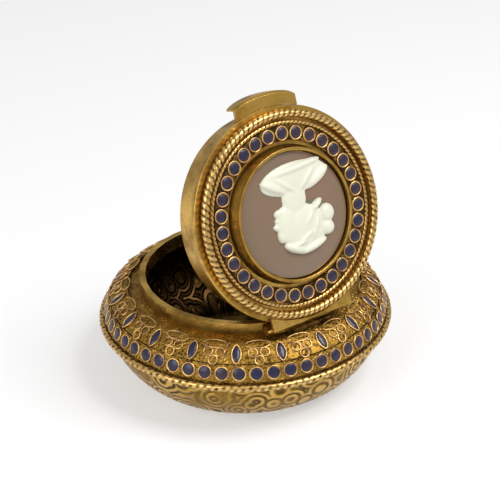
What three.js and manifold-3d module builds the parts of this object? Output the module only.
import * as THREE from 'three';
import { mergeVertices } from 'three/addons/utils/BufferGeometryUtils.js';
import Module from 'manifold-3d';

// Gilt trinket box with a hinged lid that carries a framed cameo. Millimetres, +Z up.
// The origin is under the centre of the foot, and +Y points to the hinge.

// Body
const FOOT_R = 19.4;
const BODY_R = 30.75;
const SEAM_Z = 13.3;
const BOWL_CURVE = 1.73;
const WALL = 0.9;
const BASE_R = 17;
const BASE_T = 0.9;
const COLLAR_R = 23.1;
const COLLAR_Z = 20.3;
const MOUTH_R = 21.76;
const MOUTH_Z = 23.46;
const SHOULDER_BULGE = 2.1;
const GIRDLE_WIRE_R = 0.85;

// Shoulder ornament: two raised filigree bands
const ROUND_R = 1.5;
const ROUND_AT = 0.22;
const EYE_LENGTH = 4.2;
const EYE_AT = 0.59;
const ENAMEL_T = 0.45;

// Lid
const OPEN_DEG = 70.35;
const LID_R = 22.4;
const PLATE_T = 1.12;
const PLUG_R = 21;
const PLUG_WALL = 0.9;
const PLUG_DEPTH = 7;
const OUTER_WIRE_R = 0.9;
const OUTER_ROPE_R = 21.5;
const INNER_WIRE_R = 0.45;
const INNER_ROPE_R = 19.3;
const CELL_R = 1.5;
const CELL_RING_R = 16.7;
const BEZEL_FOOT_R = 14.4;
const BEZEL_R = 13.8;
const BEZEL_WALL = 0.6;
const BEZEL_H = 2.9;
const GROUND_T = 0.8;
const BED_T = 0.7;
const RELIEF_T = 1.1;
const LIP_HALF = 7.3;
const LIP_REACH = 2.6;
const LIP_DROP = 2.4;
const LIP_T = 0.9;

// Hinge
const HINGE_Y = 22.43;
const HINGE_Z = 22.24;
const HINGE_LENGTH = 20;
const KNUCKLE_R = 0.95;
const PIN_R = 0.45;
const PIN_CLEAR = 0.1;
const NOTCH_R = 1.6;
const LEAF_Y = 22.3;
const LEAF_T = 0.6;
const BEARER_T = 0.9;

// Clearances
const GAP = 0.3;
const SEAT = 0.05;
const RUN = 0.12;

const SIDES = 36;
const STEPS = 6;
const Q = Math.PI / 2;
const rad = (deg) => (deg * Math.PI) / 180;

function volumeOf(geometry) {
  const p = geometry.attributes.position;
  const index = geometry.index;
  const total = index ? index.count : p.count;
  const v = [0, 1, 2].map(() => new THREE.Vector3());
  let sum = 0;
  for (let i = 0; i < total; i += 3) {
    v.forEach((each, k) => each.fromBufferAttribute(p, index ? index.getX(i + k) : i + k));
    sum += v[0].dot(v[1].clone().cross(v[2]));
  }
  return sum / 6;
}

// A plain closed shell: shared corners, no flat triangles, faces out
function solid(source) {
  const g = source.clone();
  g.deleteAttribute('normal');
  g.deleteAttribute('uv');
  g.clearGroups();
  const merged = mergeVertices(g, 1e-5);
  const old = merged.index.array;
  const kept = [];
  for (let i = 0; i < old.length; i += 3) {
    const [a, b, c] = [old[i], old[i + 1], old[i + 2]];
    if (a !== b && b !== c && c !== a) kept.push(a, b, c);
  }
  merged.setIndex(kept);
  if (volumeOf(merged) < 0) {
    for (let i = 0; i < kept.length; i += 3) [kept[i], kept[i + 1]] = [kept[i + 1], kept[i]];
    merged.setIndex(kept);
  }
  merged.computeVertexNormals();
  return merged;
}

// A turned piece about the upright axis, from [radius, height] corners
function turned(corners, sides = SIDES) {
  const points = corners.map(([r, z]) => new THREE.Vector2(r, z));
  const onAxis = corners[0][0] === 0;
  if (!onAxis) points.push(points[0].clone());
  return solid(new THREE.LatheGeometry(points, sides).rotateX(Q));
}

function disc(radius, low, high) {
  return turned([[0, low], [radius, low], [radius, high], [0, high]]);
}

function wireRing(centreR, wireR, z, corners = 6) {
  const outline = [];
  for (let i = 0; i < corners; i += 1) {
    const a = (i * 2 * Math.PI) / corners;
    outline.push([centreR + wireR * Math.cos(a), z + wireR * Math.sin(a)]);
  }
  return turned(outline);
}

function slab(outline, depth) {
  const shape = new THREE.Shape(outline.map(([x, y]) => new THREE.Vector2(x, y)));
  return new THREE.ExtrudeGeometry(shape, { depth, bevelEnabled: false });
}

function tubeAlongX(outerR, innerR, from, to) {
  const corners = [[innerR, from], [outerR, from], [outerR, to], [innerR, to]];
  return solid(turned(corners, 12).rotateY(Q));
}

// Surfaces of the bowl and the shoulder
function bowlCurve(footR, low) {
  const rim = footR === FOOT_R ? BODY_R : BODY_R - WALL;
  return Array.from({ length: STEPS + 2 }, (_, i) => {
    const u = i / (STEPS + 1);
    const rise = 1 - (1 - u ** BOWL_CURVE) ** (1 / BOWL_CURVE);
    return [footR + (rim - footR) * u, low + (SEAM_Z - low) * rise];
  });
}

const chord = new THREE.Vector2(COLLAR_R - BODY_R, COLLAR_Z - SEAM_Z);
const outward = new THREE.Vector2(chord.y, -chord.x).normalize();

function shoulderPoint(t, lift = 0) {
  const swell = SHOULDER_BULGE * 4 * t * (1 - t);
  const slope = (SHOULDER_BULGE * 4 * (1 - 2 * t)) / chord.length();
  const normal = outward.clone().addScaledVector(chord.clone().normalize(), -slope).normalize();
  return new THREE.Vector2(BODY_R, SEAM_Z).addScaledVector(chord, t)
    .addScaledVector(outward, swell).addScaledVector(normal, lift);
}

// A thin band that follows the shoulder, as high up the slope as its cells are long
function shoulderBand(at, length) {
  const line = (lift) => [-1, -0.33, 0.33, 1].map((k) => {
    const p = shoulderPoint(at + (k * length) / 2 / chord.length(), lift);
    return [p.x, p.y];
  });
  return turned([...line(GAP + ENAMEL_T), ...line(GAP).reverse()]);
}

// Solids that are cut
const wasm = await Module();
wasm.setup();

function toManifold(geometry) {
  const g = geometry.clone();
  g.deleteAttribute('normal');
  const merged = mergeVertices(g, 1e-5);
  return new wasm.Manifold(new wasm.Mesh({
    numProp: 3,
    vertProperties: new Float32Array(merged.attributes.position.array),
    triVerts: new Uint32Array(merged.index.array),
  }));
}

function cut(geometry, tool) {
  const mesh = toManifold(geometry).subtract(toManifold(tool)).getMesh();
  const g = new THREE.BufferGeometry();
  g.setAttribute('position', new THREE.BufferAttribute(new Float32Array(mesh.vertProperties), 3));
  g.setIndex(Array.from(mesh.triVerts));
  return solid(g);
}

function metal(hex, roughness = 0.35) {
  return new THREE.MeshStandardMaterial({ color: hex, roughness, metalness: 1 });
}

function stone(hex, roughness = 0.4) {
  return new THREE.MeshStandardMaterial({ color: hex, roughness, metalness: 0 });
}

const GILT = 0xc89a38;
const AGED = 0x9a7420;
const ROPE = 0xd8b468;
const ENAMEL = 0x1c1c48;

function add(parent, name, geometry, material) {
  const mesh = new THREE.Mesh(geometry, material);
  mesh.name = name;
  parent.add(mesh);
  return mesh;
}

const box = new THREE.Group();

// Foot, bowl, girdle, shoulder and collar
add(box, 'base_plate', disc(BASE_R, 0, BASE_T), metal(AGED, 0.5));

const bowlOut = bowlCurve(FOOT_R, 0);
const bowlIn = bowlCurve(FOOT_R - WALL, WALL).reverse();
const baseHole = BASE_R + SEAT;
add(box, 'lower_bowl', turned([[baseHole, 0], ...bowlOut, ...bowlIn, [baseHole, WALL]]), metal(AGED, 0.45));

const girdleR = BODY_R + GIRDLE_WIRE_R + SEAT;
add(box, 'girdle_rope', wireRing(girdleR, GIRDLE_WIRE_R, SEAM_Z), metal(ROPE));

const shoulderOut = Array.from({ length: STEPS + 1 }, (_, i) => {
  const p = shoulderPoint(i / STEPS);
  return [p.x, p.y];
});
const shoulderIn = shoulderOut.map(([r, z], i) => {
  const edge = i / STEPS;
  const thick = WALL + (COLLAR_R - MOUTH_R - WALL) * edge;
  const inside = i > 0 && i < STEPS ? WALL / 2 : 0;
  return [r - thick, z - inside];
}).reverse();
add(box, 'shoulder_shell', turned([...shoulderOut, ...shoulderIn]), metal(0x8c6e32, 0.5));

add(box, 'shoulder_cells', shoulderBand(ROUND_AT, 2 * ROUND_R), stone(ENAMEL));
add(box, 'shoulder_eyes', shoulderBand(EYE_AT, EYE_LENGTH), stone(ENAMEL));

const collarWhole = turned([
  [MOUTH_R, COLLAR_Z], [COLLAR_R, COLLAR_Z], [COLLAR_R, MOUTH_Z], [MOUTH_R, MOUTH_Z],
]);
const notch = new THREE.CylinderGeometry(NOTCH_R, NOTCH_R, HINGE_LENGTH + 2 * GAP, 16).rotateZ(Q);
notch.translate(0, HINGE_Y, HINGE_Z);
add(box, 'mouth_collar', cut(collarWhole, solid(notch)), metal(GILT));

// Hinge: five knuckles on one pin, three of them on the body
const knuckleLength = (HINGE_LENGTH - 4 * GAP) / 5;
const boreR = PIN_R + PIN_CLEAR;
const knuckle = (i) => {
  const from = -HINGE_LENGTH / 2 + i * (knuckleLength + GAP);
  return tubeAlongX(KNUCKLE_R, boreR, from, from + knuckleLength);
};
const hinge = new THREE.Group();
hinge.position.set(0, HINGE_Y, HINGE_Z);
box.add(hinge);
add(hinge, 'body_knuckle_left', knuckle(0), metal(GILT));
add(hinge, 'body_knuckle_middle', knuckle(2), metal(GILT));
add(hinge, 'body_knuckle_right', knuckle(4), metal(GILT));
const pin = new THREE.CylinderGeometry(PIN_R, PIN_R, HINGE_LENGTH, 12).rotateZ(Q);
add(hinge, 'hinge_pin', solid(pin), metal(GILT));

const bearerY = HINGE_Y + KNUCKLE_R + RUN;
const bearerLow = COLLAR_Z + GAP;
const bearerTop = HINGE_Z - KNUCKLE_R + GAP;
const bearer = new THREE.BoxGeometry(HINGE_LENGTH / 2, BEARER_T, bearerTop - bearerLow);
bearer.translate(0, bearerY + BEARER_T / 2, (bearerTop + bearerLow) / 2);
add(box, 'hinge_bearer', solid(bearer), metal(AGED, 0.5));

// Lid, drawn closed about the hinge line and then swung open
const lid = new THREE.Group();
lid.position.set(0, HINGE_Y, HINGE_Z);
lid.rotation.x = -rad(OPEN_DEG);
box.add(lid);
const closed = new THREE.Group();
closed.position.set(0, -HINGE_Y, -HINGE_Z);
lid.add(closed);

const plateLow = MOUTH_Z + SEAT;
const face = plateLow + PLATE_T;
const onFace = face + GAP;
add(closed, 'lid_plate', disc(LID_R, plateLow, face), metal(0x5a4420, 0.55));

const plugTop = plateLow - GAP;
const plugLow = MOUTH_Z - PLUG_DEPTH;
const plugIn = PLUG_R - PLUG_WALL;
add(closed, 'plug_band', turned([
  [plugIn, plugLow], [PLUG_R, plugLow], [PLUG_R, plugTop], [plugIn, plugTop],
]), metal(GILT));

const outerRing = wireRing(OUTER_ROPE_R - OUTER_WIRE_R, OUTER_WIRE_R, onFace + OUTER_WIRE_R);
const innerRing = wireRing(INNER_ROPE_R - INNER_WIRE_R, INNER_WIRE_R, onFace + INNER_WIRE_R, 5);
add(closed, 'outer_rope', outerRing, metal(ROPE));
add(closed, 'inner_rope', innerRing, metal(ROPE));

const [cellsIn, cellsOut] = [CELL_RING_R - CELL_R, CELL_RING_R + CELL_R];
const cellsTop = onFace + ENAMEL_T;
add(closed, 'lid_cells', turned([
  [cellsIn, onFace], [cellsOut, onFace], [cellsOut, cellsTop], [cellsIn, cellsTop],
]), stone(ENAMEL));

const rimIn = BEZEL_R - BEZEL_WALL;
const rimZ = face + BEZEL_H;
add(closed, 'bezel', turned([
  [rimIn, onFace], [BEZEL_FOOT_R, onFace], [BEZEL_R - BEZEL_WALL / 3, rimZ - 1],
  [BEZEL_R, rimZ], [rimIn, rimZ],
]), metal(GILT));

const bedZ = onFace + BED_T;
const groundZ = bedZ + GAP + GROUND_T;
add(closed, 'cameo_bed', disc(rimIn - GAP, onFace, bedZ), stone(0x6a5a48, 0.9));
add(closed, 'cameo_ground', disc(rimIn - GAP, bedZ + GAP, groundZ), stone(0x6e6050, 0.35));

// The figure is upside down on the open lid: its head is towards the hinge
const bust = [
  [7.5, -6.5], [5.6, -4.2], [2.9, -3.2], [2.5, -0.9], [4.6, 0], [5, 1.8], [5.8, 3.3], [4.9, 4.8],
  [4.8, 6.8], [3.6, 9.4], [0.5, 10.8], [-4, 10.1], [-8, 8], [-9.6, 4.6], [-8.6, 1.4], [-5, 0.4],
  [-3.6, -2.6], [-8.8, -4.8], [-9.8, -7.2], [-7, -9.6], [-1, -11], [4.6, -9.4],
];
const relief = slab(bust, RELIEF_T).translate(0, 0, groundZ + GAP);
add(closed, 'cameo_relief', solid(relief), stone(0xe4e4d0, 0.5));

// Thumb lip: a rounded tongue that stands out over the collar and turns down
const lipY = -(LID_R + GAP);
const lipOut = lipY - LIP_REACH;
const lipLow = plateLow - LIP_DROP;
const lipSide = [
  [lipY, plateLow], [lipOut + LIP_T, plateLow], [lipOut + LIP_T, lipLow], [lipOut, lipLow],
  [lipOut - 0.1, face - 0.6], [lipOut + 0.5, face], [lipY, face],
];
const lip = slab(lipSide.map(([y, z]) => [y, z]), 2 * LIP_HALF);
lip.applyMatrix4(new THREE.Matrix4().makeBasis(
  new THREE.Vector3(0, 1, 0), new THREE.Vector3(0, 0, 1), new THREE.Vector3(1, 0, 0),
));
lip.translate(-LIP_HALF, 0, 0);
add(closed, 'thumb_lip', solid(lip), metal(GILT));

// Leaf of the lid: straight outer edge, inner edge round the rope
const leafHalf = HINGE_LENGTH / 2;
const leafIn = OUTER_ROPE_R + GAP;
const leafOutline = [[-leafHalf, LEAF_Y], [leafHalf, LEAF_Y]];
for (let i = 0; i <= STEPS; i += 1) {
  const x = leafHalf * (1 - (2 * i) / STEPS);
  leafOutline.push([x, Math.sqrt(leafIn ** 2 - x ** 2)]);
}
const leaf = slab(leafOutline, LEAF_T).translate(0, 0, onFace);
add(closed, 'hinge_leaf', solid(leaf), metal(GILT));
add(lid, 'lid_knuckle_left', knuckle(1), metal(GILT));
add(lid, 'lid_knuckle_right', knuckle(3), metal(GILT));

export default box;
